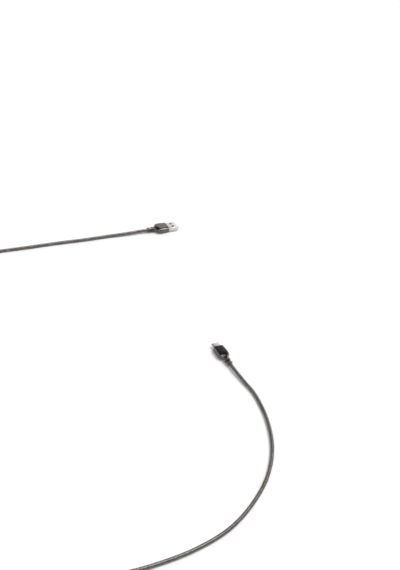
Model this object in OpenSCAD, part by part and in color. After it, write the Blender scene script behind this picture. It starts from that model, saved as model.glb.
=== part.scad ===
// Charging and data cable, about 1.2 m from tip to tip: a type A plug and a type C plug,
// each in a die-cast housing, joined by one lead in a flexible wound steel hose.
// Each plug is drawn in its own frame, with +X the way it goes into its port, X = 0 at the
// housing's front face and Z = 0 on the plug's axis. The part's own frame has its origin at
// the bottom centre of the type A plug, +X the way that plug goes in, and +Z up.

/* [Hose] */
// Outer diameter of the wound steel hose
hose_od = 3.5; // [3.2:0.05:3.8]
// Bore of the hose
hose_id = 2.5; // [2.4:0.05:2.7]

/* [Inner lead] */
// Outer diameter of the jacketed lead in the hose
lead_od = 2.3; // [2.2:0.05:2.35]
// Thickness of the lead's jacket
lead_jacket = 0.25; // [0.15:0.01:0.28]
// Diameter of each insulated wire
wire_d = 0.66; // [0.5:0.01:0.7]

/* [Housing] */
// Wall of the die-cast housing beside its cavity
housing_wall = 0.6; // [0.5:0.05:0.9]
// How far ahead of the cavities' end the housings are widest
widest_ahead = 0.4; // [0.2:0.1:1.6]
// Length of the shoulder from the widest place to the neck
shoulder_len = 6.2; // [5.5:0.1:7.5]
// Length of the neck that carries the two collars
neck_len = 7.4; // [7:0.1:9]
// Wall of the neck round the hose
neck_wall = 0.7; // [0.5:0.05:0.8]
// How much wider the type A housing is at its widest than at its front
a_flare = 1.4; // [0.8:0.1:2]
// How much wider the type C housing is at its widest than at its front
c_flare = 0.9; // [0.6:0.1:2]
// How far the rounded loft would rise above the flat faces at its crown
crown_rise = 0.8; // [0.5:0.05:1.2]
// How far ahead of the cavities' end the crown lies
crown_ahead = 2.4; // [0.5:0.1:4]
// Chamfer round the flat faces at the front
front_chamfer = 0.3; // [0.1:0.05:0.5]

/* [Collars] */
// Outer diameter of the collar near the shoulder
collar_1_d = 6.4; // [5.8:0.1:6.6]
// Outer diameter of the collar at the end of the neck
collar_2_d = 5.8; // [5.6:0.1:6.4]
// Width of each collar's round bead
collar_bead = 1.8; // [1.4:0.1:2]
// Distance between the collars' middles
collar_pitch = 4.8; // [3.5:0.1:5.2]
// Distance from the neck's end to the middle of the end collar
collar_inset = 1; // [1:0.05:1.4]

/* [Ferrule] */
// Length of the ferrule that holds the hose's end
ferrule_len = 3; // [2:0.1:3.4]
// Wall of the ferrule
ferrule_wall = 0.5; // [0.3:0.05:0.6]
// Thickness of the ferrule's inward lip
ferrule_lip = 0.5; // [0.3:0.1:0.8]

/* [Type A connector] */
// Width of the type A shell
a_shell_w = 12; // [11.6:0.1:12.4]
// Height of the type A shell
a_shell_h = 4.5; // [4.4:0.05:4.7]
// Sheet thickness of the type A shell
a_shell_t = 0.3; // [0.25:0.01:0.35]
// How far the type A shell stands out of its housing
a_reach = 12; // [11.5:0.1:12.5]
// Length of the type A shell inside its housing
a_tail = 6.5; // [5.5:0.1:7]
// Length of the type A rear can
a_can_len = 5.1; // [5:0.05:5.6]
// Thickness of the tongue that carries the contacts
a_tongue_t = 1.84; // [1.7:0.02:1.95]
// How far the tongue's end lies inside the shell's mouth
a_tongue_in = 0.4; // [0.2:0.1:1]
// Width of the type A contacts
a_contact_w = 1; // [0.8:0.05:1.2]
// Thickness of the type A contacts
a_contact_t = 0.25; // [0.2:0.01:0.3]
// How far the contacts stand above the tongue
a_contact_proud = 0.1; // [0.05:0.01:0.15]
// Width of each retention window in the shell
a_window_w = 2.5; // [2:0.1:2.7]
// Length of each retention window
a_window_len = 2; // [1.5:0.1:2.4]
// Distance from the shell's mouth to its windows
a_window_from_mouth = 5.2; // [4.5:0.1:6]
// Distance between the middles of the two windows in a face
a_window_pitch = 5.6; // [5:0.1:6]
// Black mould seen beside the type A shell
a_rim_side = 0.3; // [0.2:0.05:0.5]
// Black mould seen above and below the type A shell
a_rim_face = 0.35; // [0.25:0.05:0.5]

/* [Type C connector] */
// Width of the type C shell
c_shell_w = 8.25; // [8.1:0.05:8.4]
// Height of the type C shell
c_shell_h = 2.4; // [2.35:0.01:2.5]
// Sheet thickness of the type C shell
c_shell_t = 0.25; // [0.2:0.01:0.28]
// How far the type C shell stands out of its housing
c_reach = 6.65; // [6.3:0.05:7]
// Length of the type C shell inside its housing
c_tail = 5; // [4.5:0.1:5.4]
// Width of the slot that takes the socket's tongue
c_slot_w = 6.7; // [6.5:0.05:6.8]
// Height of that slot
c_slot_h = 0.8; // [0.7:0.02:0.86]
// Depth of that slot
c_slot_depth = 5.2; // [4.5:0.1:5.6]
// How far the insulator's end lies inside the shell's mouth
c_face_in = 0.3; // [0.2:0.05:0.5]
// Width of the type C contacts
c_contact_w = 0.3; // [0.2:0.01:0.36]
// Thickness of the type C contacts
c_contact_t = 0.15; // [0.1:0.01:0.18]
// Pitch of the type C contacts
c_contact_pitch = 0.5; // [0.48:0.01:0.52]
// Thickness of the latch plate
c_latch_t = 0.2; // [0.15:0.01:0.3]
// Width of each latch arm
c_latch_w = 0.3; // [0.2:0.01:0.34]
// Thickness of the ground springs
c_spring_t = 0.1; // [0.08:0.01:0.12]
// Length of the ground springs
c_spring_len = 2.2; // [1.8:0.1:3]
// Width of the ground springs
c_spring_w = 5; // [4:0.1:5.4]
// Length of the circuit card
c_card_len = 4.7; // [4.4:0.05:5]
// Width of the circuit card
c_card_w = 7.4; // [7:0.1:7.8]
// Width of the rear can
c_can_w = 8.8; // [8.6:0.1:9.2]
// Height of the rear can
c_can_h = 4.4; // [4.2:0.1:4.6]
// Sheet thickness of both rear cans
can_t = 0.2; // [0.15:0.01:0.25]
// Length of the type C rear can
c_can_len = 6.8; // [6.6:0.05:7.2]
// Mould wall beside the type C rear can
c_mould_side = 0.4; // [0.3:0.05:0.6]

/* [Moulds] */
// How far each mould's front lies inside the housing
mould_in = 0.1; // [0:0.05:0.3]
// Mould behind the rear can
mould_rear = 0.8; // [0.6:0.1:1]

/* [Hidden] */
$fn = 48;
// Running clearance round pieces that slide together when the plug is put together
slip = 0.05;
eps = 0.01;
big = 60;

// Lead and wires
lead_id = lead_od - 2 * lead_jacket;
wire_offset = wire_d / 2 + slip;
wire_steps = 8;
tube_sides = 8;
lead_hole = lead_od + 2 * slip;

// Housings: both plugs have one height, which the type A connector sets
mould_h = a_shell_h + 2 * a_rim_face;
body_h = mould_h + 2 * housing_wall;
a_mould_w = a_shell_w + 2 * a_rim_side;
c_mould_w = c_can_w + 2 * c_mould_side;
a_front_w = a_mould_w + 2 * housing_wall;
c_front_w = c_mould_w + 2 * housing_wall;
mould_corner = 0.7;
shell_corner = 0.6;

// Depth of each cavity, and of the ferrule behind it
a_depth = a_tail + a_can_len + mould_rear;
c_depth = c_tail - can_t + c_can_len + mould_rear;
hose_bore = hose_od + 2 * slip;
ferrule_d = hose_bore + 2 * ferrule_wall;
lead_past_can = 0.4;

// Places along a housing, behind its front face
cavity_end = max(a_depth, c_depth);
crown_at = cavity_end - crown_ahead;
widest_at = cavity_end - widest_ahead;
neck_at = widest_at + shoulder_len;
plug_len = neck_at + neck_len;
collar_1_at = plug_len - collar_inset - collar_pitch;
collar_2_at = plug_len - collar_inset;
axis_z = max(body_h, collar_1_d, collar_2_d) / 2;

// The loft from the front to the neck: its section's corners go from nearly square to round
neck_d = hose_bore + 2 * neck_wall;
neck_fillet = 0.15;
neck_overlap = 1;
root_r = neck_d / 2 + neck_fillet;
front_rise = 0.25;
square_power = 7;
round_power = 2;
square_to = 5;
loft_rings = 26;
loft_points = 40;
collar_sides = 32;

// Type A connector
a_inner_w = a_shell_w - 2 * a_shell_t;
a_inner_h = a_shell_h - 2 * a_shell_t;
a_tongue_top = a_tongue_t - a_inner_h / 2;
a_tongue_side = 0.15;
a_block_x = 1.5;
a_contact_y = [-3.5, -1, 1, 3.5];
a_contact_in = [1.6, 2.6, 2.6, 1.6];
a_contact_top = a_tongue_top + a_contact_proud;
a_solder_len = 3;
a_wire_behind = 0.2;
a_wire_ahead = 2;
a_wire_z = a_contact_top + wire_d / 2;
a_fan_x = -a_tail - a_can_len + can_t + lead_past_can;

// Type C connector: contact places are counted in pitches from the middle
c_inner_w = c_shell_w - 2 * c_shell_t;
c_inner_h = c_shell_h - 2 * c_shell_t;
c_upper_places = [-5.5, -2.5, -1.5, -0.5, 0.5, 2.5, 5.5];
c_lower_places = [-5.5, -2.5, 2.5, 5.5];
c_contact_in = 1;
c_contact_tail = 1.6;
c_card_h = c_slot_h;
c_latch_rear = 1;
c_latch_in = 0.9;
c_hook = 0.3;
c_hook_len = 0.5;
c_spring_in = 0.6;
c_can_bore_len = 0.5;
c_wire_y = [-2.4, -0.8, 0.8, 2.4];
c_wire_z = c_card_h / 2 + wire_d / 2;
c_wire_behind = 0.3;
c_wire_on_card = 0.9;
c_fan_x = -c_depth + mould_rear + can_t + lead_past_can;
chip_size = [0.8, 1.6, 0.45];
chip_back = 0.1;

// Places of the two plugs' front faces
a_place = [(plug_len - a_reach) / 2, 0, axis_z];
c_place = [-41.5, -215.8, axis_z];
a_tip = a_place - [plug_len, 0, 0];
c_tip = c_place - [0, plug_len, 0];

// The free hose's route: off the type A neck, round one open loop on the table, and straight
// into the type C neck
lie = hose_od / 2;
route = [
    a_tip, a_tip - [10, 0, 0.1],
    [-46, 0, 2.6], [-68, 1, 1.9], [-98, 1, lie], [-132, 2, lie], [-168, 2, lie],
    [-204, 3, lie], [-240, 4, lie], [-275, 0, lie], [-305, -16, lie], [-325, -43, lie],
    [-333, -77, lie], [-329, -112, lie], [-317, -145, lie], [-302, -177, lie],
    [-290, -210, lie], [-291, -245, lie], [-304, -278, lie], [-320, -310, lie],
    [-332, -343, lie], [-330, -378, lie], [-310, -407, lie], [-279, -422, lie],
    [-245, -426, lie], [-210, -428, lie], [-175, -426, lie], [-141, -418, lie],
    [-110, -402, lie], [-82, -380, lie], [-60, -352, lie], [-46, -320, lie],
    [-39.5, -288, lie], [-40.5, -267, 2.3],
    c_tip - [0, 10, 0.1], c_tip
];
// Angle that one ring of the hose's tube turns through at most
ring_turn = 7;

function mix(a, b, u) = a + (b - a) * u;
function ease(u) = (1 - cos(180 * min(1, max(0, u)))) / 2;

// ---- Frames -------------------------------------------------------------------------

module at_a() {
    translate(a_place) children();
}

module at_c() {
    translate(c_place) rotate([0, 0, 90]) children();
}

// A box from x0 to x1 along the plug, centred on its axis
module bar_x(x0, x1, w, h) {
    translate([x0, -w / 2, -h / 2]) cube([x1 - x0, w, h]);
}

// A round bar from x0 to x1 on the plug's axis
module rod_x(x0, x1, d) {
    translate([x0, 0, 0]) rotate([0, 90, 0]) cylinder(h = x1 - x0, d = d);
}

// A bar of rounded rectangular section from x0 to x1
module round_bar_x(x0, x1, w, h, r) {
    bar_x(x0, x1, w - 2 * r, h);
    bar_x(x0, x1, w, h - 2 * r);
    for (y = [-1, 1], z = [-1, 1]) {
        translate([0, y * (w / 2 - r), z * (h / 2 - r)]) rod_x(x0, x1, 2 * r);
    }
}

// A bar with full round sides, the section of a type C shell
module oval_bar_x(x0, x1, w, h) {
    bar_x(x0, x1, w - h, h);
    for (y = [-1, 1]) {
        translate([0, y * (w - h) / 2, 0]) rod_x(x0, x1, h);
    }
}

function unit(v) = v / norm(v);

// A tube of n sides through the points of a line, with its ends square to start and finish
module tube(line, d, n, start, finish) {
    last = len(line) - 1;
    points = [
        for (i = [0 : last])
            let (t = i == 0 ? start : i == last ? finish : unit(line[i + 1] - line[i - 1]),
                 side = unit(cross(t, [0, 0, 1])), up = cross(side, t))
            for (j = [0 : n - 1])
                let (a = 360 * (j + 0.5) / n)
                line[i] + d / 2 * (cos(a) * side + sin(a) * up)
    ];
    sides = [
        for (i = [0 : last - 1], j = [0 : n - 1])
            let (a = i * n + j, b = i * n + (j + 1) % n)
            each [[a, b + n, b], [a, a + n, b + n]]
    ];
    first_cap = [for (j = [0 : n - 1]) j];
    last_cap = [for (j = [n - 1 : -1 : 0]) last * n + j];
    polyhedron(points, concat(sides, [first_cap, last_cap]), convexity = 10);
}

// A wire lies in the lead at corner (cy, cz), leaves it at x0, and swings over in one soft bend
// to lie at place [y, z] from x1 to x2
module wire(cy, cz, x0, x1, x2, place) {
    from = wire_offset * [cy, cz];
    bend = [
        for (k = [0 : wire_steps])
            let (u = k / wire_steps, v = mix(from, place, ease(u)))
            [mix(x0, x1, u), v[0], v[1]]
    ];
    line = concat([[-plug_len, from[0], from[1]]], bend, [[x2, place[0], place[1]]]);
    tube(line, wire_d, tube_sides, [1, 0, 0], [1, 0, 0]);
}

// ---- Housings -----------------------------------------------------------------------

// Half width, half height and corner power of the loft, s behind the front face
function loft_w(s, front, wide) =
    s < widest_at ? mix(front, wide, ease(s / widest_at)) / 2
    : mix(wide / 2, root_r, ease((s - widest_at) / shoulder_len));
function loft_h(s) =
    s < crown_at ? body_h / 2 + mix(front_rise, crown_rise, ease(s / crown_at))
    : mix(body_h / 2 + crown_rise, root_r, ease((s - crown_at) / (neck_at - crown_at)));
function loft_power(s) =
    mix(square_power, round_power, ease((s - square_to) / (neck_at - square_to)));

function signed_power(v, p) = sign(v) * pow(abs(v), p);

module loft(front, wide) {
    rings = [
        for (i = [0 : loft_rings])
            let (s = neck_at * i / loft_rings, w = loft_w(s, front, wide), h = loft_h(s),
                 p = 2 / loft_power(s))
            [
                for (j = [0 : loft_points - 1])
                    let (a = 360 * (j + 0.5) / loft_points)
                    [-s, w * signed_power(cos(a), p), h * signed_power(sin(a), p)]
            ]
    ];
    points = [for (r = rings) each r];
    n = loft_points;
    sides = [
        for (i = [0 : loft_rings - 1], j = [0 : n - 1])
            let (a = i * n + j, b = i * n + (j + 1) % n)
            each [[a, b, b + n], [a, b + n, a + n]]
    ];
    front_cap = [for (j = [n - 1 : -1 : 0]) j];
    rear_cap = [for (j = [0 : n - 1]) loft_rings * n + j];
    polyhedron(points, concat(sides, [front_cap, rear_cap]), convexity = 4);
}

// The two flat faces, with the front chamfer, as seen from the side
module flats() {
    c = front_chamfer;
    h = body_h / 2;
    rotate([90, 0, 0])
        linear_extrude(big, center = true)
            polygon([[0, h - c], [-c, h], [-big, h], [-big, -h], [-c, -h], [0, c - h]]);
}

module collar(at, d) {
    translate([-at, 0, 0])
        rotate([0, 90, 0])
            rotate_extrude()
                translate([d / 2 - collar_bead / 2, 0])
                    circle(d = collar_bead, $fn = collar_sides);
}

module housing(front, flare, mould_w, depth) {
    color("#4b4548")
    difference() {
        union() {
            intersection() {
                loft(front, front + flare);
                flats();
            }
            rod_x(-plug_len, neck_overlap - neck_at, neck_d);
            collar(collar_1_at, collar_1_d);
            collar(collar_2_at, collar_2_d);
        }
        round_bar_x(-depth, big, mould_w, mould_h, mould_corner);
        rod_x(-depth - ferrule_len - slip, eps - depth, ferrule_d + 2 * slip);
        rod_x(-big, -depth, hose_bore);
    }
}

module ferrule(depth) {
    color("#b5b3ae")
    difference() {
        rod_x(-depth - ferrule_len, -depth, ferrule_d);
        rod_x(-big, -depth - ferrule_lip, hose_bore);
        rod_x(-big, big, lead_hole);
    }
}

module hose_end(depth) {
    color("#a8a5a2")
    difference() {
        rod_x(-plug_len, -depth - ferrule_lip, hose_od);
        rod_x(-big, big, hose_id);
    }
}

module lead_end(end_x) {
    color("#1c1c1e")
    difference() {
        rod_x(-plug_len, end_x, lead_od);
        rod_x(-big, big, lead_id);
    }
}

// ---- Type A plug --------------------------------------------------------------------

module usb_a_housing() {
    at_a() housing(a_front_w, a_flare, a_mould_w, a_depth);
}

module usb_a_shell() {
    at_a() color("#c9c8c4")
    difference() {
        round_bar_x(-a_tail, a_reach, a_shell_w, a_shell_h, shell_corner);
        round_bar_x(-big, big, a_inner_w, a_inner_h, shell_corner - a_shell_t);
        for (y = [-1, 1]) {
            translate([0, y * a_window_pitch / 2, 0])
                bar_x(a_reach - a_window_from_mouth - a_window_len, a_reach - a_window_from_mouth,
                      a_window_w, big);
        }
    }
}

// One contact strip: 0 supply, 1 and 2 data, 3 ground
module a_contact_strip(i) {
    translate([0, a_contact_y[i], a_contact_top - a_contact_t / 2])
        bar_x(-a_tail - a_solder_len, a_reach - a_contact_in[i], a_contact_w, a_contact_t);
}

module usb_a_insulator() {
    low = -a_inner_h / 2;
    at_a() color("#1b1b1d")
    difference() {
        union() {
            translate([0, 0, low + a_tongue_t / 2])
                bar_x(0, a_reach - a_tongue_in, a_inner_w - 2 * a_tongue_side, a_tongue_t);
            translate([0, 0, -slip / 2])
                round_bar_x(-a_tail, a_block_x, a_inner_w - 2 * slip, a_inner_h - slip, shell_corner - a_shell_t);
        }
        for (i = [0 : 3]) {
            a_contact_strip(i);
        }
    }
}

module a_contact(i) {
    at_a() color("#c8a24a") a_contact_strip(i);
}

module usb_a_contact_vbus() {
    a_contact(0);
}

module usb_a_contact_dminus() {
    a_contact(1);
}

module usb_a_contact_dplus() {
    a_contact(2);
}

module usb_a_contact_gnd() {
    a_contact(3);
}

module usb_a_rear_can() {
    rear = -a_tail - a_can_len;
    at_a() color("#b9b8b4")
    difference() {
        round_bar_x(rear, -a_tail, a_shell_w, a_shell_h, shell_corner);
        round_bar_x(rear + can_t, big, a_shell_w - 2 * can_t, a_shell_h - 2 * can_t, shell_corner - can_t);
        rod_x(-big, big, lead_hole);
    }
}

module usb_a_inner_mould() {
    at_a() color("#141416")
    difference() {
        round_bar_x(-a_depth, -mould_in, a_mould_w, mould_h, mould_corner);
        round_bar_x(mould_rear - a_depth, big, a_shell_w, a_shell_h, shell_corner);
        rod_x(-big, big, lead_hole);
    }
}

module usb_a_ferrule() {
    at_a() ferrule(a_depth);
}

module usb_a_hose_end() {
    at_a() hose_end(a_depth);
}

module usb_a_lead_end() {
    at_a() lead_end(a_fan_x);
}

// The wire on contact i, from corner (cy, cz) of the lead
module a_wire(i, cy, cz, tint) {
    strip_end = -a_tail - a_solder_len;
    at_a() color(tint)
        wire(cy, cz, a_fan_x, strip_end - a_wire_behind, strip_end + a_wire_ahead, [a_contact_y[i], a_wire_z]);
}

module usb_a_wire_red() {
    a_wire(0, -1, -1, "#a3201c");
}

module usb_a_wire_white() {
    a_wire(1, -1, 1, "#e6e4de");
}

module usb_a_wire_green() {
    a_wire(2, 1, 1, "#2c7a3a");
}

module usb_a_wire_black() {
    a_wire(3, 1, -1, "#202020");
}

// ---- Type C plug --------------------------------------------------------------------

module usb_c_housing() {
    at_c() housing(c_front_w, c_flare, c_mould_w, c_depth);
}

module usb_c_shell() {
    at_c() color("#c9c8c4")
    difference() {
        oval_bar_x(-c_tail, c_reach, c_shell_w, c_shell_h);
        oval_bar_x(-big, big, c_inner_w, c_inner_h);
    }
}

module c_strips(places, side) {
    for (k = places) {
        translate([0, k * c_contact_pitch, side * (c_slot_h + c_contact_t) / 2])
            bar_x(-c_tail - c_contact_tail, c_reach - c_face_in - c_contact_in, c_contact_w, c_contact_t);
    }
}

// A U with its bar across the rear of the insulator and a hook at the end of each arm
module c_latch_shape() {
    x1 = c_reach - c_face_in - c_latch_in;
    arm_y = (c_slot_w + c_latch_w) / 2;
    bar_x(-c_tail, c_latch_rear - c_tail, c_slot_w + 2 * c_latch_w, c_latch_t);
    for (y = [-1, 1]) {
        translate([0, y * arm_y, 0]) bar_x(-c_tail, x1, c_latch_w, c_latch_t);
        translate([0, y * (c_slot_w - c_hook) / 2, 0]) bar_x(x1 - c_hook_len, x1, c_hook + eps, c_latch_t);
    }
}

module c_spring_pair() {
    x1 = c_reach - c_face_in - c_spring_in;
    for (z = [-1, 1]) {
        translate([0, 0, z * (c_inner_h - slip - c_spring_t) / 2])
            bar_x(x1 - c_spring_len, x1, c_spring_w, c_spring_t);
    }
}

module usb_c_insulator() {
    at_c() color("#1b1b1d")
    difference() {
        oval_bar_x(-c_tail, c_reach - c_face_in, c_inner_w - slip, c_inner_h - slip);
        bar_x(c_reach - c_face_in - c_slot_depth, big, c_slot_w, c_slot_h);
        c_strips(c_upper_places, 1);
        c_strips(c_lower_places, -1);
        c_latch_shape();
        c_spring_pair();
    }
}

module usb_c_contacts_upper() {
    at_c() color("#c8a24a") c_strips(c_upper_places, 1);
}

module usb_c_contacts_lower() {
    at_c() color("#c8a24a") c_strips(c_lower_places, -1);
}

module usb_c_latch_plate() {
    at_c() color("#b9b8b4") c_latch_shape();
}

module usb_c_ground_springs() {
    at_c() color("#b9b8b4") c_spring_pair();
}

module usb_c_circuit_card() {
    at_c() color("#1f5a3a") bar_x(-c_tail - c_card_len, -c_tail, c_card_w, c_card_h);
}

module usb_c_chip_resistor() {
    at_c() color("#2a2a2c")
    translate([-c_tail - c_card_len / 2 - chip_back, 0, (c_card_h + chip_size[2]) / 2])
        cube(chip_size, center = true);
}

module usb_c_rear_can() {
    rear = mould_rear - c_depth;
    front = can_t - c_tail;
    at_c() color("#b9b8b4")
    difference() {
        round_bar_x(rear, front, c_can_w, c_can_h, shell_corner);
        round_bar_x(rear + can_t, front - can_t, c_can_w - 2 * can_t, c_can_h - 2 * can_t, shell_corner - can_t);
        oval_bar_x(front - can_t - eps, big, c_shell_w, c_shell_h);
        rod_x(-big, rear + c_can_bore_len, lead_hole);
    }
}

module usb_c_inner_mould() {
    at_c() color("#141416")
    difference() {
        round_bar_x(-c_depth, -mould_in, c_mould_w, mould_h, mould_corner);
        round_bar_x(mould_rear - c_depth, can_t - c_tail, c_can_w, c_can_h, shell_corner);
        oval_bar_x(-c_tail, big, c_shell_w, c_shell_h);
        rod_x(-big, -c_tail, lead_hole);
    }
}

module usb_c_ferrule() {
    at_c() ferrule(c_depth);
}

module usb_c_hose_end() {
    at_c() hose_end(c_depth);
}

module usb_c_lead_end() {
    at_c() lead_end(c_fan_x);
}

// The wire on the card's pad i, from corner (cy, cz) of the lead
module c_wire(i, cy, cz, tint) {
    card_end = -c_tail - c_card_len;
    at_c() color(tint)
        wire(cy, cz, c_fan_x, card_end - c_wire_behind, card_end + c_wire_on_card, [c_wire_y[i], c_wire_z]);
}

module usb_c_wire_red() {
    c_wire(0, -1, -1, "#a3201c");
}

module usb_c_wire_white() {
    c_wire(1, -1, 1, "#e6e4de");
}

module usb_c_wire_green() {
    c_wire(2, 1, 1, "#2c7a3a");
}

module usb_c_wire_black() {
    c_wire(3, 1, -1, "#202020");
}

// ---- The free hose ------------------------------------------------------------------

// A smooth curve through the route's points, with its ends running on straight
function route_at(i) =
    i < 0 ? 2 * route[0] - route[1]
    : i >= len(route) ? 2 * route[len(route) - 1] - route[len(route) - 2]
    : route[i];
function curve(i, t) =
    let (p = route_at(i - 1), q = route_at(i), r = route_at(i + 1), s = route_at(i + 2))
    q + (r - p) * t / 2 + (2 * p - 5 * q + 4 * r - s) * t * t / 2 + (3 * q - p - 3 * r + s) * t * t * t / 2;

// How far the curve turns between points i and i + 1, which sets the rings between them
function turn(i) =
    acos(min(1, unit(route_at(i + 1) - route_at(i - 1)) * unit(route_at(i + 2) - route_at(i))));
ring_steps = [for (i = [0 : len(route) - 2]) 1 + floor(turn(i) / ring_turn)];

hose_line = [
    for (i = [0 : len(route) - 2], k = [0 : ring_steps[i] - 1]) curve(i, k / ring_steps[i]),
    route[len(route) - 1]
];
function length_of(line, i = 0, sum = 0) =
    i >= len(line) - 1 ? sum : length_of(line, i + 1, sum + norm(line[i + 1] - line[i]));
echo(hose_rings = len(hose_line), hose_length = length_of(hose_line));

module cable_hose() {
    color("#a8a5a2") tube(hose_line, hose_od, tube_sides, [-1, 0, 0], [0, 1, 0]);
}

usb_a_housing();
usb_a_shell();
usb_a_insulator();
usb_a_contact_vbus();
usb_a_contact_dminus();
usb_a_contact_dplus();
usb_a_contact_gnd();
usb_a_rear_can();
usb_a_inner_mould();
usb_a_ferrule();
usb_a_hose_end();
usb_a_lead_end();
usb_a_wire_red();
usb_a_wire_white();
usb_a_wire_green();
usb_a_wire_black();
usb_c_housing();
usb_c_shell();
usb_c_insulator();
usb_c_contacts_upper();
usb_c_contacts_lower();
usb_c_latch_plate();
usb_c_ground_springs();
usb_c_circuit_card();
usb_c_chip_resistor();
usb_c_rear_can();
usb_c_inner_mould();
usb_c_ferrule();
usb_c_hose_end();
usb_c_lead_end();
usb_c_wire_red();
usb_c_wire_white();
usb_c_wire_green();
usb_c_wire_black();
cable_hose();
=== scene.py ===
import math

import bmesh
import bpy
import numpy as np
from mathutils import Matrix, Vector


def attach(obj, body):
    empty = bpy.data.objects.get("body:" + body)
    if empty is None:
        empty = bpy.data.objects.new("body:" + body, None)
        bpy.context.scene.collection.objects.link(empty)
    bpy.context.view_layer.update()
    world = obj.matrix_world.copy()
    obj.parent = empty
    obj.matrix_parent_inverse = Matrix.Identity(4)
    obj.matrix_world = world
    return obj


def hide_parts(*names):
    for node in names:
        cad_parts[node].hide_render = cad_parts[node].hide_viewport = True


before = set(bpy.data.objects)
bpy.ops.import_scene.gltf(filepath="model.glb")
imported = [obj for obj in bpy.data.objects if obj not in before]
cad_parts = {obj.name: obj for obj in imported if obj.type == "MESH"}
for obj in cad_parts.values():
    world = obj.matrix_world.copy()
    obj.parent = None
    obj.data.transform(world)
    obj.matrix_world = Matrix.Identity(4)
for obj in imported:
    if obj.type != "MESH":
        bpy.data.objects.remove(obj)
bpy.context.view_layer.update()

# ---- The camera ------------------------------------------------------------------------
# A plain camera 0.6 m above the table, out past its front left corner. It looks down on the
# cable at 35 degrees, tilted a little to its left.

camera_place = Vector((-0.468865, -0.799811, 0.575189))
camera_right = Vector((0.874903, -0.459313, 0.153546))
camera_down = Vector((-0.156978, -0.568888, -0.807295))
camera_ahead = Vector((0.458152, 0.682201, -0.569824))
sensor_width, focal_length = 36, 58.48
nearest, farthest = 0.01, 20

camera_data = bpy.data.cameras.new("camera")
camera_data.sensor_width = sensor_width
camera_data.lens = focal_length
camera_data.clip_start = nearest
camera_data.clip_end = farthest
camera = bpy.data.objects.new("camera", camera_data)
camera_turn = Matrix((camera_right, -camera_down, -camera_ahead)).transposed().to_4x4()
camera.matrix_world = Matrix.Translation(camera_place) @ camera_turn
bpy.context.scene.collection.objects.link(camera)
bpy.context.scene.camera = camera

# ---- The studio ------------------------------------------------------------------------
# A white table top under the cable, a broad soft light high on the right and a weaker one on
# the front left, and a room that polished metal shows: a pale wall behind, a dimmer front and
# a dark ceiling.

table_size = 20
table_white = (0.97, 0.97, 0.97)
# The room's light by height (the cove by the table, the wall, the ceiling), and by how far a
# direction faces the back
cove_light, back_light, front_light, ceiling_light = 1.0, 1.4, 0.35, 0.10
cove_top, wall_foot, wall_top, ceiling_foot = 0.10, 0.20, 0.52, 0.60
back_direction = (0.643, 0.766, 0.0)
front_end, back_start = 0.2, 0.8
# Each softbox: its strength, its width in degrees and the way it shines
softboxes = {
    "right_softbox": (2.15, 36, (-0.41, -0.02, -0.91)),
    "left_softbox": (0.75, 25, (0.49, 0.37, -0.79)),
}

bpy.context.scene.view_settings.view_transform = "Standard"


def plain_colour(value):
    return (*value, 1.0)


def new_material(name):
    material = bpy.data.materials.new(name)
    material.use_nodes = True
    return material, material.node_tree.nodes, material.node_tree.links


table_material, nodes, links = new_material("table_top")
table_shader = nodes["Principled BSDF"]
table_shader.inputs["Base Color"].default_value = plain_colour(table_white)
table_shader.inputs["Roughness"].default_value = 0.9
table_shader.inputs["Specular IOR Level"].default_value = 0.0

mesh = bpy.data.meshes.new("table_top")
bm = bmesh.new()
bmesh.ops.create_grid(bm, x_segments=1, y_segments=1, size=table_size)
bm.to_mesh(mesh)
bm.free()
mesh.materials.append(table_material)
table_top = bpy.data.objects.new("table_top", mesh)
bpy.context.scene.collection.objects.link(table_top)

room = bpy.data.worlds.new("room")
bpy.context.scene.world = room
room.use_nodes = True
nodes, links = room.node_tree.nodes, room.node_tree.links


def light_step(value, start, end, before, after):
    """A smooth change of light from one level to another as a value rises."""
    step = nodes.new("ShaderNodeMapRange")
    step.interpolation_type = "SMOOTHSTEP"
    links.new(value, step.inputs["Value"])
    step.inputs["From Min"].default_value = start
    step.inputs["From Max"].default_value = end
    for label, level in (("To Min", before), ("To Max", after)):
        if isinstance(level, float):
            step.inputs[label].default_value = level
        else:
            links.new(level, step.inputs[label])
    return step.outputs["Result"]


direction = nodes.new("ShaderNodeTexCoord").outputs["Generated"]
height = nodes.new("ShaderNodeSeparateXYZ")
links.new(direction, height.inputs["Vector"])
facing = nodes.new("ShaderNodeVectorMath")
facing.operation = "DOT_PRODUCT"
links.new(direction, facing.inputs[0])
facing.inputs[1].default_value = back_direction
wall_level = light_step(facing.outputs["Value"], front_end, back_start, front_light, back_light)
low_level = light_step(height.outputs["Z"], cove_top, wall_foot, cove_light, wall_level)
whole_level = light_step(height.outputs["Z"], wall_top, ceiling_foot, low_level, ceiling_light)
nodes["Background"].inputs["Color"].default_value = plain_colour((1, 1, 1))
links.new(whole_level, nodes["Background"].inputs["Strength"])

for name, (level, width, way) in softboxes.items():
    light = bpy.data.lights.new(name, "SUN")
    light.energy = level
    light.angle = math.radians(width)
    lamp = bpy.data.objects.new(name, light)
    lamp.rotation_mode = "QUATERNION"
    lamp.rotation_quaternion = Vector(way).to_track_quat("-Z", "Y")
    bpy.context.scene.collection.objects.link(lamp)

# ---- The free hose ---------------------------------------------------------------------
# A flexible hose wound from one narrow stainless strip, whose turns hook into each other,
# with the jacketed lead inside. It is wound by the metre and cut to length. The grooves are
# darkened with painted shade and some dirt, and no two turns of the strip shine quite alike.

hose_diameter = 0.0035
hose_pitch = 0.0011
hose_sides = 19
hose_lie = hose_diameter / 2
line_steps = 24
weld_distance = 1e-7
hose_start = (-0.0188, 0, 0.0032)
hose_finish = (-0.0415, -0.2414, 0.0032)
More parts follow.
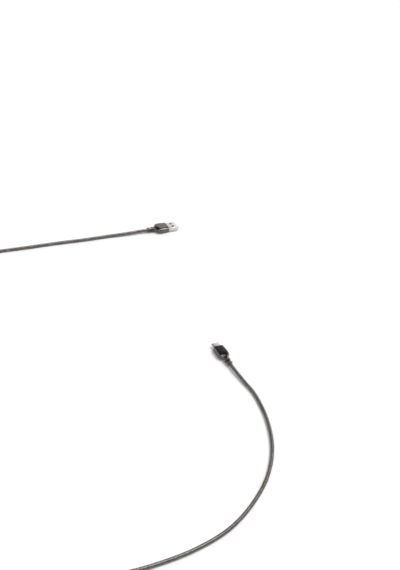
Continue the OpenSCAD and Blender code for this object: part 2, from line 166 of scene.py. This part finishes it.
# Where the hose goes, in mm, at the height hose_lie where none is given
route_mm = [
    (-28.8, 0, 3.1), (-46, 0, 2.6), (-68, 1, 1.9), (-98, 1), (-132, 2), (-168, 2), (-204, 3),
    (-240, 4), (-275, 0), (-305, -16), (-325, -43), (-333, -77), (-329, -112), (-317, -145),
    (-302, -177), (-290, -210), (-291, -245), (-304, -278), (-320, -310), (-332, -343),
    (-330, -378), (-310, -407), (-279, -422), (-245, -426), (-210, -428), (-175, -426),
    (-141, -418), (-110, -402), (-82, -380), (-60, -352), (-46, -320), (-39.5, -288),
    (-40.5, -267, 2.3), (-41.5, -251.4, 3.1),
]
route = [hose_start] + [
    (p[0] / 1000, p[1] / 1000, p[2] / 1000 if len(p) == 3 else hose_lie) for p in route_mm
] + [hose_finish]


def smooth_line(points, steps):
    """A smooth curve through the points, with its ends running on straight."""
    knots = np.array(points, float)
    knots = np.vstack([2 * knots[0] - knots[1], knots, 2 * knots[-1] - knots[-2]])
    line = []
    for p, q, r, s in zip(knots, knots[1:], knots[2:], knots[3:]):
        for t in np.arange(steps) / steps:
            line.append(
                q + (r - p) * t / 2 + (2 * p - 5 * q + 4 * r - s) * t**2 / 2
                + (3 * q - p - 3 * r + s) * t**3 / 2
            )
    return np.array(line + [knots[-2]])


hose_line = smooth_line(route, line_steps)
hose_line[:, 2] = np.maximum(hose_line[:, 2], hose_lie)
steps = np.linalg.norm(np.diff(hose_line, axis=0), axis=1)
hose_along = np.concatenate([[0], np.cumsum(steps)])
hose_length = float(hose_along[-1])
hose_turns = round(hose_length / hose_pitch)

# One turn of the strip: how far along the pitch each row lies, its radius, and how deep it
# lies in the groove between the turns
turn_rows = [
    (0.0, 0.00146, 1.0), (0.14, 0.00171, 0.3), (0.36, 0.00175, 0.0), (0.68, 0.00175, 0.0),
    (0.89, 0.00169, 0.4),
]
strip_dark, strip_light = (0.175, 0.164, 0.152), (0.25, 0.234, 0.219)
tarnish, tarnish_most = (0.11, 0.100, 0.092), 0.35
# The painted shade and dirt in the grooves' colour, and the dirt's roughness
groove_shade_and_dirt, dirt_roughness = (0.02, 0.018, 0.017), 0.25
strip_smooth, strip_rough = 0.15, 0.24
strip_grain = 9000
shade_from, shade_full = 0.1, 0.9
# The span that most of a noise's values lie in
noise_low, noise_high = 0.3, 0.7


def math_node(nodes, links, operation, first, second):
    """A Math node of two inputs, each a socket or a number, and its output."""
    node = nodes.new("ShaderNodeMath")
    node.operation = operation
    for socket, value in zip(node.inputs, (first, second)):
        if isinstance(value, (int, float)):
            socket.default_value = value
        else:
            links.new(value, socket)
    return node.outputs[0]


def link_piece(name, bm, material):
    """The finished mesh as a piece that rides with the cable."""
    mesh = bpy.data.meshes.new(name)
    bm.to_mesh(mesh)
    bm.free()
    mesh.materials.append(material)
    piece = bpy.data.objects.new(name, mesh)
    bpy.context.scene.collection.objects.link(piece)
    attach(piece, "root")
    return piece


def wound_strip(line, along, turns):
    """The wound strip as one helical skin round a line, closed at both ends."""
    rows = turns * len(turn_rows) + 1
    bm = bmesh.new()
    bmesh.ops.create_grid(bm, x_segments=rows - 1, y_segments=hose_sides, size=0.5)
    bm.verts.ensure_lookup_table()
    flat = np.array([v.co[:2] for v in bm.verts]) + 0.5
    row = np.rint(flat[:, 0] * (rows - 1)).astype(int)
    around = flat[:, 1]
    share, radius, depth = np.array(turn_rows)[row % len(turn_rows)].T
    turn = row // len(turn_rows)
    at = along[-1] * np.clip((turn + share + around - 0.5) / turns, 0, 1)
    middle = np.stack([np.interp(at, along, line[:, k]) for k in range(3)], axis=1)
    ahead = np.gradient(line, along, axis=0)
    tangent = np.stack([np.interp(at, along, ahead[:, k]) for k in range(3)], axis=1)
    tangent /= np.linalg.norm(tangent, axis=1)[:, None]
    side = np.cross(tangent, (0, 0, 1))
    side /= np.linalg.norm(side, axis=1)[:, None]
    up = np.cross(side, tangent)
    angle = 2 * math.pi * around
    skin = middle + radius[:, None] * (np.cos(angle)[:, None] * side + np.sin(angle)[:, None] * up)
    groove = bm.verts.layers.float.new("groove")
    winding = bm.verts.layers.float.new("winding")
    for v, co, d, w in zip(bm.verts, skin, depth, turn + share + around):
        v.co = co
        v[groove] = d
        v[winding] = w
    bmesh.ops.remove_doubles(bm, verts=bm.verts, dist=weld_distance)
    bmesh.ops.holes_fill(bm, edges=[e for e in bm.edges if e.is_boundary], sides=0)
    bmesh.ops.recalc_face_normals(bm, faces=bm.faces)
    for f in bm.faces:
        f.smooth = True
    return bm


def new_group(name, inputs, outputs):
    """A node group with number inputs of those values, and number outputs."""
    group = bpy.data.node_groups.new(name, "ShaderNodeTree")
    for label, value in inputs.items():
        socket = group.interface.new_socket(label, in_out="INPUT", socket_type="NodeSocketFloat")
        socket.default_value = value
    for label in outputs:
        group.interface.new_socket(label, in_out="OUTPUT", socket_type="NodeSocketFloat")
    given = group.nodes.new("NodeGroupInput").outputs
    result = group.nodes.new("NodeGroupOutput").inputs
    return group, group.nodes, group.links, given, result


def noise_node(nodes, links, scale, detail=2, stretch=(1, 1, 1), turned=(0, 0, 0)):
    """Noise on Object coordinates, with features of about 1 / scale metres, before stretch."""
    place = nodes.new("ShaderNodeTexCoord").outputs["Object"]
    mapping = nodes.new("ShaderNodeMapping")
    mapping.inputs["Rotation"].default_value = turned
    mapping.inputs["Scale"].default_value = stretch
    links.new(place, mapping.inputs["Vector"])
    noise = nodes.new("ShaderNodeTexNoise")
    noise.inputs["Detail"].default_value = detail
    links.new(mapping.outputs["Vector"], noise.inputs["Vector"])
    if isinstance(scale, (int, float)):
        noise.inputs["Scale"].default_value = scale
    else:
        links.new(scale, noise.inputs["Scale"])
    return noise.outputs["Fac"]


def fitted(nodes, links, value, low, high, to_low=0.0, to_high=1.0):
    """The value from low to high, spread smoothly over to_low to to_high."""
    fit = nodes.new("ShaderNodeMapRange")
    fit.interpolation_type = "SMOOTHSTEP"
    links.new(value, fit.inputs["Value"])
    for label, number in (
        ("From Min", low), ("From Max", high), ("To Min", to_low), ("To Max", to_high)
    ):
        fit.inputs[label].default_value = number
    return fit.outputs["Result"]


def colour_mix(nodes, links, share, first, second):
    """A mix of two colours by a share. Each colour is a socket or three numbers."""
    mix_node = nodes.new("ShaderNodeMix")
    mix_node.data_type = "RGBA"
    factor, result = mix_node.inputs["Factor"], mix_node.outputs[2]
    links.new(share, factor)
    for socket, colour in zip((mix_node.inputs[6], mix_node.inputs[7]), (first, second)):
        if isinstance(colour, tuple):
            socket.default_value = plain_colour(colour)
        else:
            links.new(colour, socket)
    return result


def group_node(nodes, group, **values):
    """A group placed in a material, with its inputs' values."""
    node = nodes.new("ShaderNodeGroup")
    node.node_tree = group
    for label, value in values.items():
        node.inputs[label.replace("_", " ")].default_value = value
    return node.outputs


def bump(nodes, links, shader, height, distance, strength):
    bump_node = nodes.new("ShaderNodeBump")
    bump_node.inputs["Distance"].default_value = distance
    bump_node.inputs["Strength"].default_value = strength
    links.new(height, bump_node.inputs["Height"])
    links.new(bump_node.outputs["Normal"], shader.inputs["Normal"])


def attribute(nodes, name):
    node = nodes.new("ShaderNodeAttribute")
    node.attribute_name = name
    return node.outputs["Fac"]


# Handling leaves soft smudges and a few hairline scratches on every metal face.
smudge_from, smudge_full = 0.42, 0.68
hairline_from, hairline_full = 0.72, 0.76
hairline_stretch, hairline_ways = (0.4, 14, 14), (0.35, -0.6)

handling, nodes, links, given, result = new_group(
    "handling", {"Smudge size": 150, "Hairline size": 700}, ("Smudge", "Hairline")
)
smudge = noise_node(nodes, links, given["Smudge size"], 4)
links.new(fitted(nodes, links, smudge, smudge_from, smudge_full), result["Smudge"])
scratches = [
    noise_node(nodes, links, given["Hairline size"], 1, hairline_stretch, (0, 0, way))
    for way in hairline_ways
]
hairlines = [fitted(nodes, links, noise, hairline_from, hairline_full) for noise in scratches]
links.new(math_node(nodes, links, "MAXIMUM", *hairlines), result["Hairline"])

hose_steel, nodes, links = new_material("hose_steel")
shader = nodes["Principled BSDF"]
shader.inputs["Metallic"].default_value = 1
marks = group_node(nodes, handling, Smudge_size=90)
turn_number = math_node(nodes, links, "FLOOR", attribute(nodes, "winding"), 0)
turn_noise = nodes.new("ShaderNodeTexWhiteNoise")
turn_noise.noise_dimensions = "1D"
links.new(turn_number, turn_noise.inputs["W"])
strip = colour_mix(nodes, links, turn_noise.outputs["Value"], strip_dark, strip_light)
tarnish_share = math_node(nodes, links, "MULTIPLY", marks["Smudge"], tarnish_most)
tarnished = colour_mix(nodes, links, tarnish_share, strip, tarnish)
# Painted shade and dirt: the strip's colour darkens by how deep it lies in the groove
shade_and_grime = fitted(nodes, links, attribute(nodes, "groove"), shade_from, shade_full)
links.new(colour_mix(nodes, links, shade_and_grime, tarnished, groove_shade_and_dirt), shader.inputs["Base Color"])
smudged = fitted(nodes, links, marks["Smudge"], 0, 1, strip_smooth, strip_rough)
dirt_rough = math_node(nodes, links, "MULTIPLY", shade_and_grime, dirt_roughness)
links.new(math_node(nodes, links, "ADD", smudged, dirt_rough), shader.inputs["Roughness"])
grain = noise_node(nodes, links, strip_grain)
bump(nodes, links, shader, grain, distance=0.00001, strength=0.5)

hose = link_piece("free_hose", wound_strip(hose_line, hose_along, hose_turns), hose_steel)
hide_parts("cable_hose")

# ---- The type A housing ----------------------------------------------------------------
# Die-cast zinc, polished and plated black nickel: a box with flat faces that swells a
# little, rounds off at the shoulder and narrows to a neck with two collars. The mould is
# pushed in from the front, and the neck is crimped on the hose.

# Sizes of both housings in mm, with places along them given behind the front face
body_height = 6.4
widest_at = 12.0
shoulder_length = 6.2
crown_at = 10.0
neck_at = 18.2
plug_length = 25.6
root_radius = 2.65
neck_radius = 2.5
front_rise = 0.25
crown_rise = 0.8
front_power = 4.4
neck_power = 2
square_until = 1
front_round = 0.28
front_steps = 6
rim_blend = 0.7
# Each collar's middle, and how far from the neck's axis the middle of its bead lies
collars = ((19.8, 2.3), (24.6, 2.0))
collar_bead = 0.9
collar_rings = 23
# Where the neck between the collars has a painted highlight on top and painted shade on its sides
painted_neck_band = (21.05, 23.5)
tip_round = 0.14
tip_rings = 5
bore_radius = 1.8
seat_radius = 2.35
seat_end = 15.45
cavity_depth = 12.4
cavity_height = 5.2
cavity_corner = 0.7
housing_points = 144
section_step = 0.2
least_reach = 1e-9
smooth_angle = math.radians(35)
# Wear runs from -1 in a groove beside a collar or a recess, where it stands for painted shade
# and rougher plating, through 0 on a polished face, to 1 on an edge where the plating is
# rubbed thin. On the neck's top between the collars a positive value is a painted highlight.
# An edge wears from the first of these bends, in radians per mm, to the second.
rim_bend, edge_bend = 0.35, 1.2
crest_wear, crest_narrowness = 0.35, 6
unpolished_shade_rise = 0.4
highlight_narrowness = 3
# Rings where the shoulder runs into the neck: how far behind neck_at, the radius and the wear
# value, whose negative values are painted shade in the recess there
neck_root = ((0.06, 2.6, -0.5), (0.16, 2.53, -0.8), (0.3, 2.5, -1))
plating_patches, rubbed_patches = 70, 260
plating_dark, plating_light = (0.124, 0.110, 0.103), (0.146, 0.130, 0.121)
# The colour of rubbed thin plating on edges, also used for a painted highlight on the neck
wear_and_highlight_colour, thin_most = (0.58, 0.525, 0.487), 0.6
# The painted shade in the grooves and recesses, and the roughness of the plating left there
recess_shade_colour, dull_roughness = (0.060, 0.053, 0.050), 0.15
plating_smooth, plating_rough, hairline_roughness = 0.13, 0.19, 0.06
hairline_depth = 0.000001

plug_a_place = Vector((0.0068, 0, 0.0032))
plug_a_frame = Matrix.Translation(plug_a_place) @ Matrix.Scale(0.001, 4)


def mix(first, second, share):
    return first + (second - first) * share


def ease(share):
    return (1 - math.cos(math.pi * min(1, max(0, share)))) / 2


def half_angles(count):
    return 2 * math.pi * (np.arange(count) + 0.5) / count


def round_ring(s, radius, wear_and_painted_light):
    """A round ring s behind the front face, and its value of wear and painted light."""
    angle = half_angles(housing_points)
    ring = np.stack([
        np.full(housing_points, -s), radius * np.cos(angle), radius * np.sin(angle)
    ], axis=1)
    return ring, np.full(housing_points, wear_and_painted_light)


def body_ring(s, front_width, widest):
    """The body's section s behind the front face: a box with full corners that turns round
    towards the neck, cut by the two flat faces. It wears where it bends sharply."""
    if s < widest_at:
        half_width = mix(front_width, widest, ease(s / widest_at)) / 2
    else:
        half_width = mix(widest / 2, root_radius, ease((s - widest_at) / shoulder_length))
    crown = body_height / 2 + crown_rise
    if s < crown_at:
        half_height = mix(body_height / 2 + front_rise, crown, ease(s / crown_at))
    else:
        half_height = mix(crown, root_radius, ease((s - crown_at) / (neck_at - crown_at)))
    power = 2 / mix(front_power, neck_power, ease((s - square_until) / (neck_at - square_until)))
    left = max(0.0, front_round - s)
    trim = front_round - math.sqrt(front_round**2 - left**2)
    angle = half_angles(housing_points)
    across, up = np.cos(angle), np.sin(angle)
    y = (half_width - trim) * np.sign(across) * np.abs(across) ** power
    z = (half_height - trim) * np.sign(up) * np.abs(up) ** power
    face = body_height / 2 - trim
    share = np.clip(0.5 + (face - np.abs(z)) / (2 * rim_blend), 0, 1)
    z = np.sign(z) * (mix(face, np.abs(z), share) - rim_blend * share * (1 - share))
    step = np.roll(y, -1) - y + 1j * (np.roll(z, -1) - z)
    bend = np.abs(np.angle(step / np.roll(step, 1))) / np.abs(step)
    wear_and_painted_light = np.clip((bend - rim_bend) / (edge_bend - rim_bend), left / front_round, 1)
    return np.stack([np.full(housing_points, -s), y, z], axis=1), wear_and_painted_light


def neck_rings(neck_highlight):
    """The neck with its two collars, its rounded tip and its bore, back to the mould. The
    collars wear on their crests. The grooves beside them are left rough and darkened with
    painted shade, and between them the neck's top and underside get a painted highlight as
    strong as given, with painted shade on its sides."""
    profile = [(neck_at + behind, radius, wear_and_painted_light) for behind, radius, wear_and_painted_light in neck_root]
    for middle, core in collars:
        reach = math.acos((neck_radius - core) / collar_bead)
        for turned in np.linspace(-reach, reach, collar_rings):
            radius = core + collar_bead * math.cos(turned)
            # Painted shade: beside the collars the value falls below 0, darkening and roughening
            # the plating
            unpolished = max(0, 1 - (radius - neck_radius) / unpolished_shade_rise)
            profile.append((
                middle + collar_bead * math.sin(turned), radius,
                crest_wear * math.cos(turned) ** crest_narrowness - unpolished,
            ))
    # A painted highlight on the neck's top and underside, and painted shade on its sides
    highlight_share = np.abs(np.sin(half_angles(housing_points))) ** highlight_narrowness
    profile += [(s, neck_radius, mix(-1, neck_highlight, highlight_share)) for s in painted_neck_band]
    profile.sort(key=lambda ring: ring[0])
    corner = np.linspace(0, math.pi / 2, tip_rings)
    outer, inner = neck_radius - tip_round, bore_radius + tip_round
    start = plug_length - tip_round
    profile += [
        (start + tip_round * math.sin(t), outer + tip_round * math.cos(t), 1) for t in corner
    ]
    profile += [
        (start + tip_round * math.cos(t), inner - tip_round * math.sin(t), 0.5) for t in corner
    ]
    profile += [
        (seat_end, bore_radius, 0), (seat_end, seat_radius, 0), (cavity_depth, seat_radius, 0)
    ]
    return [round_ring(*ring) for ring in profile]


def rounded_box_ring(s, ring, half_width, half_height, corner):
    """A ring's points moved out or in to a box section with round corners."""
    core_y, core_z = half_width - corner, half_height - corner
    y = ring[:, 1] / np.abs(ring[:, 1]).max() * half_width
    z = ring[:, 2] / np.abs(ring[:, 2]).max() * half_height
    near_y, near_z = np.clip(y, -core_y, core_y), np.clip(z, -core_z, core_z)
    off = np.maximum(np.hypot(y - near_y, z - near_z), least_reach)
    return np.stack([
        np.full(len(ring), -s), near_y + corner * (y - near_y) / off,
        near_z + corner * (z - near_z) / off,
    ], axis=1)


def ringed_shell(rings, plug_frame):
    """A closed skin that runs from ring to ring and back to the first. Each ring is a circle
    pulled to its section, and the next one is extruded from it."""
    bm = bmesh.new()
    wear_and_painted_light = bm.verts.layers.float.new("wear_and_painted_light")
    spot = bm.verts.layers.int.new("spot")
    bmesh.ops.create_circle(bm, segments=len(rings[0][0]), radius=1)
    for number, v in enumerate(bm.verts):
        v[spot] = number
    first = edges = list(bm.edges)
    verts = list(bm.verts)
    for number, (points, ring_wear_and_light) in enumerate(rings):
        if number:
            made = bmesh.ops.extrude_edge_only(bm, edges=edges)["geom"]
            verts = [g for g in made if isinstance(g, bmesh.types.BMVert)]
            ring = set(verts)
            edges = [
                g for g in made if isinstance(g, bmesh.types.BMEdge) and ring.issuperset(g.verts)
            ]
        for v in verts:
            v.co = points[v[spot]]
            v[wear_and_painted_light] = ring_wear_and_light[v[spot]]
    bmesh.ops.bridge_loops(bm, edges=first + edges)
    bm.verts.layers.int.remove(bm.verts.layers.int["spot"])
    bmesh.ops.transform(bm, matrix=plug_frame, verts=bm.verts)
    bmesh.ops.recalc_face_normals(bm, faces=bm.faces)
    for f in bm.faces:
        f.smooth = True
    for e in bm.edges:
        e.smooth = e.calc_face_angle(0) < smooth_angle
    return bm


def housing(front_width, widest, cavity_width, neck_highlight, plug_frame):
    """A housing as one skin: the body from the front, the neck, its bore and the cavity."""
    front = np.linspace(0, math.pi / 2, front_steps + 1)[:-1]
    places = [front_round * (1 - math.cos(t)) for t in front]
    places += list(np.arange(front_round, neck_at, section_step)) + [neck_at]
    rings = [body_ring(s, front_width, widest) for s in places] + neck_rings(neck_highlight)
    mouth = rings[0][0]
    unworn = np.zeros(housing_points)
    for s in (cavity_depth, 0.0):
        rings.append((
            rounded_box_ring(s, mouth, cavity_width / 2, cavity_height / 2, cavity_corner), unworn
        ))
    return ringed_shell(rings, plug_frame)


dark_zinc, nodes, links = new_material("dark_zinc")
shader = nodes["Principled BSDF"]
shader.inputs["Metallic"].default_value = 1
marks = group_node(nodes, handling)
wear_and_painted_light = attribute(nodes, "wear_and_painted_light")
cloud = fitted(nodes, links, noise_node(nodes, links, plating_patches, 3), 0.35, 0.65)
plating = colour_mix(nodes, links, cloud, plating_dark, plating_light)
patches = noise_node(nodes, links, rubbed_patches, 4)
rubbed = fitted(nodes, links, patches, 0.3, 0.8, 0, thin_most)
# Rubbed thin edges, and the painted highlight on the neck's top between the collars
worn_and_highlight = math_node(nodes, links, "MULTIPLY", wear_and_painted_light, rubbed)
plating_worn_and_lit = colour_mix(nodes, links, worn_and_highlight, plating, wear_and_highlight_colour)
# Painted shade: below 0 the colour darkens to the recess shade colour
darker = fitted(nodes, links, wear_and_painted_light, -1, 0, 1, 0)
links.new(colour_mix(nodes, links, darker, plating_worn_and_lit, recess_shade_colour), shader.inputs["Base Color"])
smudged = fitted(nodes, links, marks["Smudge"], 0, 1, plating_smooth, plating_rough)
unpolished = fitted(nodes, links, wear_and_painted_light, -1, 0, dull_roughness, 0)
scratched = math_node(nodes, links, "MULTIPLY", marks["Hairline"], hairline_roughness)
roughness = math_node(nodes, links, "ADD", smudged, unpolished)
links.new(math_node(nodes, links, "ADD", roughness, scratched), shader.inputs["Roughness"])
bump(nodes, links, shader, marks["Hairline"], distance=-hairline_depth, strength=0.3)

type_a_housing = link_piece("type_a_housing", housing(
    front_width=13.8, widest=15.2, cavity_width=12.6, neck_highlight=0.6, plug_frame=plug_a_frame
), dark_zinc)
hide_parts("usb_a_housing")

# ---- The type A shell ------------------------------------------------------------------
# Nickel-plated steel, 0.3 mm thick, blanked with its four windows and folded round the
# insulator. Its edges meet under the plug, where a dovetail holds the seam shut.

shell_from, shell_to = -6.5, 12.0
shell_half_width, shell_half_height, shell_corner = 6.0, 2.25, 0.6
shell_sheet = 0.3
window_near, window_far = 1.55, 4.05
window_from, window_to = 4.8, 6.8
seam_gap = 0.03
dovetail_reach = 0.9
corner_steps = 6
cut_angle, bend_angle = math.radians(60), math.radians(50)
cut_round = 0.05
steel_dark, steel_light = (0.55, 0.545, 0.525), (0.62, 0.615, 0.60)
steel_smooth, steel_rough, smudge_roughness = 0.16, 0.21, 0.08
grain_size, grain_stretch = 250, (1, 40, 40)

# The folded sheet's section, from the seam under the plug round to the seam again
side = [(y, -shell_half_height) for y in (seam_gap, window_near, window_far)]
for middle_z, start in ((-1, -90), (1, 0)):
    for step in range(corner_steps + 1):
        turned = math.radians(start + 90 * step / corner_steps)
        side.append((
            shell_half_width - shell_corner + shell_corner * math.cos(turned),
            middle_z * (shell_half_height - shell_corner) + shell_corner * math.sin(turned),
        ))
side += [(y, shell_half_height) for y in (window_far, window_near)]
section = side + [(-y, z) for y, z in reversed(side)]
# Stations along the shell, each as: where most rows lie, where the row beside the seam lies
# on the slotted side and on the tongued side, and where the seam runs, along and across
stations = [
    (shell_from, shell_from, shell_from, shell_from, 0), (1.2, 0.7, 1.2, 1.3, 0),
    (1.45, 1.05, 1.8, 1.05, dovetail_reach), (3.75, 4.15, 3.4, 4.15, dovetail_reach),
    (4.0, 4.5, 4.0, 3.9, 0), (window_from, window_from, window_from, window_from, 0),
    (window_to, window_to, window_to, window_to, 0),
    (shell_to, shell_to, shell_to, shell_to, 0),
]

bm = bmesh.new()
bmesh.ops.create_grid(
    bm, x_segments=len(stations) - 1, y_segments=len(section) - 1, size=0.5
)
for v in bm.verts:
    along, slotted, tongued, seam_along, seam_across = stations[
        round((v.co.x + 0.5) * (len(stations) - 1))
    ]
    last = len(section) - 1
    number = round((v.co.y + 0.5) * last)
    y, z = section[number]
    if number in (0, last):
        along, y = seam_along, y + seam_across
    along = {1: slotted, last - 1: tongued}.get(number, along)
    v.co = (along, y, z)
windows = [
    f for f in bm.faces
    if window_from < f.calc_center_median().x < window_to
    and window_near < abs(f.calc_center_median().y) < window_far
]
bmesh.ops.delete(bm, geom=windows, context="FACES")
bmesh.ops.recalc_face_normals(bm, faces=bm.faces)
bmesh.ops.solidify(bm, geom=list(bm.faces), thickness=shell_sheet)
cut_edges = [e for e in bm.edges if e.calc_face_angle(0) > cut_angle]
bmesh.ops.bevel(
    bm, geom=cut_edges, offset=cut_round, segments=2, profile=0.5, affect="EDGES", material=-1,
    clamp_overlap=True,
)
bmesh.ops.transform(bm, matrix=plug_a_frame, verts=bm.verts)
for f in bm.faces:
    f.smooth = True
for e in bm.edges:
    e.smooth = e.calc_face_angle(0) < bend_angle


def plug_steel(name, turned):
    """Nickel-plated steel with the rolling mill's fine grain along the plug."""
    material, nodes, links = new_material(name)
    shader = nodes["Principled BSDF"]
    shader.inputs["Metallic"].default_value = 1
    marks = group_node(nodes, handling, Smudge_size=200)
    grain = noise_node(nodes, links, grain_size, 3, grain_stretch, (0, 0, turned))
    tone = fitted(nodes, links, grain, noise_low, noise_high)
    links.new(colour_mix(nodes, links, tone, steel_dark, steel_light), shader.inputs["Base Color"])
    rolled = fitted(nodes, links, grain, noise_low, noise_high, steel_smooth, steel_rough)
    smudged = math_node(nodes, links, "MULTIPLY", marks["Smudge"], smudge_roughness)
    links.new(math_node(nodes, links, "ADD", rolled, smudged), shader.inputs["Roughness"])
    bump(nodes, links, shader, grain, distance=0.000003, strength=0.4)
    return material


steel_along_a = plug_steel("plug_steel_a", 0)
type_a_shell = link_piece("type_a_shell", bm, steel_along_a)
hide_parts("usb_a_shell")

# ---- Inside the type A plug ------------------------------------------------------------
# The insulator is moulded in black nylon, and its tongue carries four gold-plated strips.
# Behind it the four wires are soldered on, a steel can closes round the joints, and black
# plastic is moulded over it all. A steel ferrule grips the hose where the cavity ends.


def finish_nodes(material, *names):
    """Gives CAD nodes their finish."""
    for name in names:
        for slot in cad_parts[name].material_slots:
            slot.material = material


# Moulded and extruded plastics have a fine grain and a faint unevenness of tone.
mottle, nodes, links, given, result = new_group(
    "mottle", {"Patch size": 300, "Grain size": 6000}, ("Patch", "Grain")
)
patch = noise_node(nodes, links, given["Patch size"], 3)
links.new(fitted(nodes, links, patch, noise_low, noise_high), result["Patch"])
links.new(noise_node(nodes, links, given["Grain size"], 2), result["Grain"])


def plastic(name, dark, light, smooth, rough, grain=0.00001, sizes=(300, 6000)):
    """A plastic whose tone varies in patches from dark to light, and whose fine grain goes
    from smooth to rough. The sizes are those of the patches and the grain."""
    material, nodes, links = new_material(name)
    shader = nodes["Principled BSDF"]
    shader.inputs["IOR"].default_value = 1.5
    spots = group_node(nodes, mottle, Patch_size=sizes[0], Grain_size=sizes[1])
    links.new(colour_mix(nodes, links, spots["Patch"], dark, light), shader.inputs["Base Color"])
    roughness = fitted(nodes, links, spots["Grain"], noise_low, noise_high, smooth, rough)
    links.new(roughness, shader.inputs["Roughness"])
    bump(nodes, links, shader, spots["Grain"], distance=grain, strength=0.5)
    return material


def metal(name, darker, bright, smooth, rough, size, stretch=(1, 1, 1)):
    """A bare or plated metal with smudges of that size and a finer grain."""
    material, nodes, links = new_material(name)
    shader = nodes["Principled BSDF"]
    shader.inputs["Metallic"].default_value = 1
    marks = group_node(nodes, handling, Smudge_size=size, Hairline_size=900)
    grain = noise_node(nodes, links, 3 * size, 3, stretch)
    grain = fitted(nodes, links, grain, noise_low, noise_high)
    links.new(colour_mix(nodes, links, grain, darker, bright), shader.inputs["Base Color"])
    roughness = fitted(nodes, links, marks["Smudge"], 0, 1, smooth, rough)
    links.new(roughness, shader.inputs["Roughness"])
    bump(nodes, links, shader, grain, distance=0.000005, strength=0.4)
    return material


nylon = plastic(
    "black_moulding", (0.018, 0.018, 0.019), (0.032, 0.032, 0.033), smooth=0.42, rough=0.6
)
gold = metal(
    "gold_contacts", (0.72, 0.5, 0.19), (0.88, 0.67, 0.29), smooth=0.16, rough=0.3, size=400
)
inner_steel = metal(
    "inner_steel", (0.6, 0.595, 0.575), (0.76, 0.755, 0.735), smooth=0.25, rough=0.4, size=250,
    stretch=(1, 20, 20),
)
cut_hose = metal(
    "hose_in_neck", strip_dark, strip_light, smooth=0.3, rough=0.45, size=300, stretch=(6, 1, 1)
)
jacket = plastic(
    "lead_jacket", (0.022, 0.022, 0.022), (0.038, 0.037, 0.036), smooth=0.5, rough=0.66,
    sizes=(500, 9000),
)
wire_colours = {
    "red": ((0.5, 0.04, 0.03), (0.6, 0.06, 0.05)),
    "white": ((0.8, 0.79, 0.74), (0.88, 0.87, 0.84)),
    "green": ((0.04, 0.3, 0.1), (0.06, 0.4, 0.14)),
    "black": ((0.022, 0.022, 0.022), (0.04, 0.04, 0.04)),
}
wire_finish = {
    colour: plastic(
        "wire_" + colour, dark, light, smooth=0.25, rough=0.36, grain=0.000004,
        sizes=(700, 9000),
    )
    for colour, (dark, light) in wire_colours.items()
}

finish_nodes(nylon, "usb_a_insulator", "usb_a_inner_mould")
finish_nodes(
    gold, "usb_a_contact_vbus", "usb_a_contact_dminus", "usb_a_contact_dplus", "usb_a_contact_gnd"
)
finish_nodes(inner_steel, "usb_a_rear_can", "usb_a_ferrule")
finish_nodes(cut_hose, "usb_a_hose_end")
finish_nodes(jacket, "usb_a_lead_end")
for colour, finish in wire_finish.items():
    finish_nodes(finish, "usb_a_wire_" + colour)

# ---- The type C housing ----------------------------------------------------------------
# The same casting, narrower at its front, with the same shoulder, neck and collars. It goes
# into the phone's port the other way up as well as this way.

plug_c_place = Vector((-0.0415, -0.2158, 0.0032))
plug_c_frame = (
    Matrix.Translation(plug_c_place) @ Matrix.Rotation(math.pi / 2, 4, "Z")
    @ Matrix.Scale(0.001, 4)
)
type_c_housing = link_piece("type_c_housing", housing(
    front_width=10.8, widest=11.7, cavity_width=9.6, neck_highlight=0.0, plug_frame=plug_c_frame
), dark_zinc)
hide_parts("usb_c_housing")

# ---- The type C shell ------------------------------------------------------------------
# Drawn from one piece of stainless steel, so it has no seam, with full round sides and a
# rounded lip at its mouth.

tube_from, tube_to = -5.0, 6.65
tube_width, tube_height = 8.25, 2.4
tube_sheet = 0.25
lip_round = 0.12
lip_rings = 6
tube_points = 96


def oval_ring(s, inset):
    """A ring s behind the front face, that far inside the shell's outer face."""
    angle = half_angles(tube_points)
    radius = tube_height / 2 - inset
    straight = (tube_width - tube_height) / 2
    ring = np.stack([
        np.full(tube_points, -s), radius * np.cos(angle) + straight * np.sign(np.cos(angle)),
        radius * np.sin(angle),
    ], axis=1)
    return ring, np.zeros(tube_points)


rings = [oval_ring(-tube_from, 0)]
quarter = np.linspace(0, math.pi / 2, lip_rings)
near, far = lip_round * (1 - np.cos(quarter)), lip_round * (1 - np.sin(quarter))
rings += [oval_ring(-tube_to + back, inset) for back, inset in zip(far, near)]
rings += [oval_ring(-tube_to + back, tube_sheet - inset) for back, inset in zip(near, far)]
rings.append(oval_ring(-tube_from, tube_sheet))

steel_along_c = plug_steel("plug_steel_c", math.pi / 2)
type_c_shell = link_piece("type_c_shell", ringed_shell(rings, plug_c_frame), steel_along_c)
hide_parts("usb_c_shell")

# ---- Inside the type C plug ------------------------------------------------------------
# The insulator holds a row of gold-plated strips above and below its slot, a latch plate
# with a hook at each side, and two ground springs. The strips and wires meet on a small
# circuit card with one resistor, and the can, mould and ferrule are as in the type A plug.

green_card = plastic(
    "circuit_card", (0.02, 0.16, 0.07), (0.045, 0.25, 0.11), smooth=0.28, rough=0.4,
    sizes=(1600, 5000),
)
chip_body = plastic(
    "chip_black", (0.022, 0.022, 0.023), (0.04, 0.04, 0.042), smooth=0.5, rough=0.62,
    sizes=(900, 12000),
)

finish_nodes(nylon, "usb_c_insulator", "usb_c_inner_mould")
finish_nodes(gold, "usb_c_contacts_upper", "usb_c_contacts_lower")
finish_nodes(
    inner_steel, "usb_c_latch_plate", "usb_c_ground_springs", "usb_c_rear_can", "usb_c_ferrule"
)
finish_nodes(green_card, "usb_c_circuit_card")
finish_nodes(chip_body, "usb_c_chip_resistor")
finish_nodes(cut_hose, "usb_c_hose_end")
finish_nodes(jacket, "usb_c_lead_end")
for colour, finish in wire_finish.items():
    finish_nodes(finish, "usb_c_wire_" + colour)
